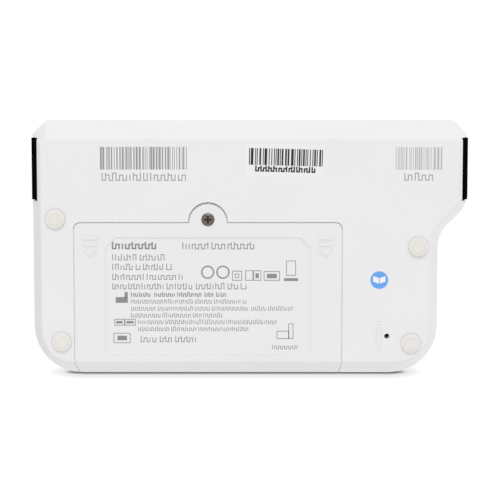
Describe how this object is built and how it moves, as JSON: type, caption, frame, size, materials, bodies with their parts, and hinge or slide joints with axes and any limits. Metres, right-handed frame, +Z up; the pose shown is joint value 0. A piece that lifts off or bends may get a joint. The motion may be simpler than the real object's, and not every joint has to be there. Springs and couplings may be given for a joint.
{
  "type": "urine analyzer",
  "caption": "Handheld urine test strip analyzer with a motor-driven strip tray, display, keys and screwed battery cover.",
  "frame": {"origin": "middle of the outline seen from above, on the surface that the four rubber feet stand on", "axes": "+Z up through the display, +Y towards the wide head, +X towards the user's right; the tray opens towards -X"},
  "size_m": [0.126, 0.0734, 0.03],
  "materials": {
    "white_abs": "satin",
    "black_gloss": "gloss",
    "black_matte": "matte",
    "foot_rubber": "matte",
    "grey_key": "satin",
    "white_pom": "satin",
    "nickel": "satin",
    "steel": "satin",
    "brass": "satin",
    "board_green": "satin",
    "screen_glass": "gloss",
    "battery_wrap": "satin",
    "clear_epoxy": "gloss"
  },
  "bodies": {
    "case": {"rear_case": "white_abs", "front_case": "white_abs", "battery_cover": "white_abs", "head_band": "black_gloss", "right_end_panel": "black_gloss", "tray_guide": "black_matte", "gear_shaft": "steel", "gear_clip": "steel", "drive_motor": "steel", "case_screw_1": "steel", "case_screw_2": "steel", "case_screw_3": "steel", "case_screw_4": "steel", "guide_screw_1": "steel", "guide_screw_2": "steel", "main_board_screw_1": "steel", "main_board_screw_2": "steel", "front_board_screw_1": "steel", "front_board_screw_2": "steel", "front_board_screw_3": "steel", "foot_1": "foot_rubber", "foot_2": "foot_rubber", "foot_3": "foot_rubber", "foot_4": "foot_rubber", "battery_cover_screw": "nickel", "battery_pack": "battery_wrap", "battery_contacts": "black_matte", "main_board": "board_green", "front_board": "board_green", "board_link": "black_matte", "radio_module": "steel", "usb_socket": "steel", "optic_housing": "black_matte", "optic_board": "board_green", "light_sensor": "black_matte", "lamp_1": "clear_epoxy", "lamp_2": "clear_epoxy", "up_switch": "steel", "start_switch": "steel", "down_switch": "steel", "power_switch": "steel", "reset_switch": "steel", "display_frame": "steel", "display_panel": "screen_glass", "display_window": "screen_glass"},
    "tray": {"strip_tray": "white_pom", "tray_end_panel": "black_gloss", "white_reference": "white_pom"},
    "drive_gear": {"drive_gear": "white_pom"},
    "motor_rotor": {"motor_shaft": "steel", "motor_pinion": "brass"},
    "up_key": {"up_key": "grey_key", "up_plunger": "black_matte"},
    "start_key": {"start_key": "grey_key", "start_plunger": "black_matte"},
    "down_key": {"down_key": "grey_key", "down_plunger": "black_matte"},
    "power_key": {"power_key": "grey_key", "power_plunger": "black_matte"},
    "reset_button": {"reset_plunger": "black_matte"}
  },
  "joints": [
    {"name": "tray_slide", "type": "slide", "parent": "case", "child": "tray", "axis": [-1, 0, 0], "range_m": [0, 0.092]},
    {"name": "drive_gear_spin", "type": "hinge", "parent": "case", "child": "drive_gear", "pos_m": [-0.042, 0.01358, 0], "axis": [0, 0, 1], "range_deg": [0, 1325]},
    {"name": "motor_spin", "type": "hinge", "parent": "case", "child": "motor_rotor", "pos_m": [-0.03166, 0.01734, 0], "axis": [0, 0, 1], "range_deg": [-3530, 0]},
    {"name": "up_key_press", "type": "slide", "parent": "case", "child": "up_key", "axis": [0, 0, -1], "range_m": [0, 0.0004], "stiffness_N_per_m": 1500, "springref_m": -0.0002},
    {"name": "start_key_press", "type": "slide", "parent": "case", "child": "start_key", "axis": [0, 0, -1], "range_m": [0, 0.0004], "stiffness_N_per_m": 1500, "springref_m": -0.0002},
    {"name": "down_key_press", "type": "slide", "parent": "case", "child": "down_key", "axis": [0, 0, -1], "range_m": [0, 0.0004], "stiffness_N_per_m": 1500, "springref_m": -0.0002},
    {"name": "power_key_press", "type": "slide", "parent": "case", "child": "power_key", "axis": [0, 0, -1], "range_m": [0, 0.0004], "stiffness_N_per_m": 1500, "springref_m": -0.0002},
    {"name": "reset_press", "type": "slide", "parent": "case", "child": "reset_button", "axis": [0, 0, 1], "range_m": [0, 0.00025], "stiffness_N_per_m": 1500, "springref_m": -0.0002}
  ],
  "couplings": [
    {"joint": "drive_gear_spin", "follows": "tray_slide", "rad_per_m": 250},
    {"joint": "motor_spin", "follows": "tray_slide", "rad_per_m": -666.67}
  ]
}
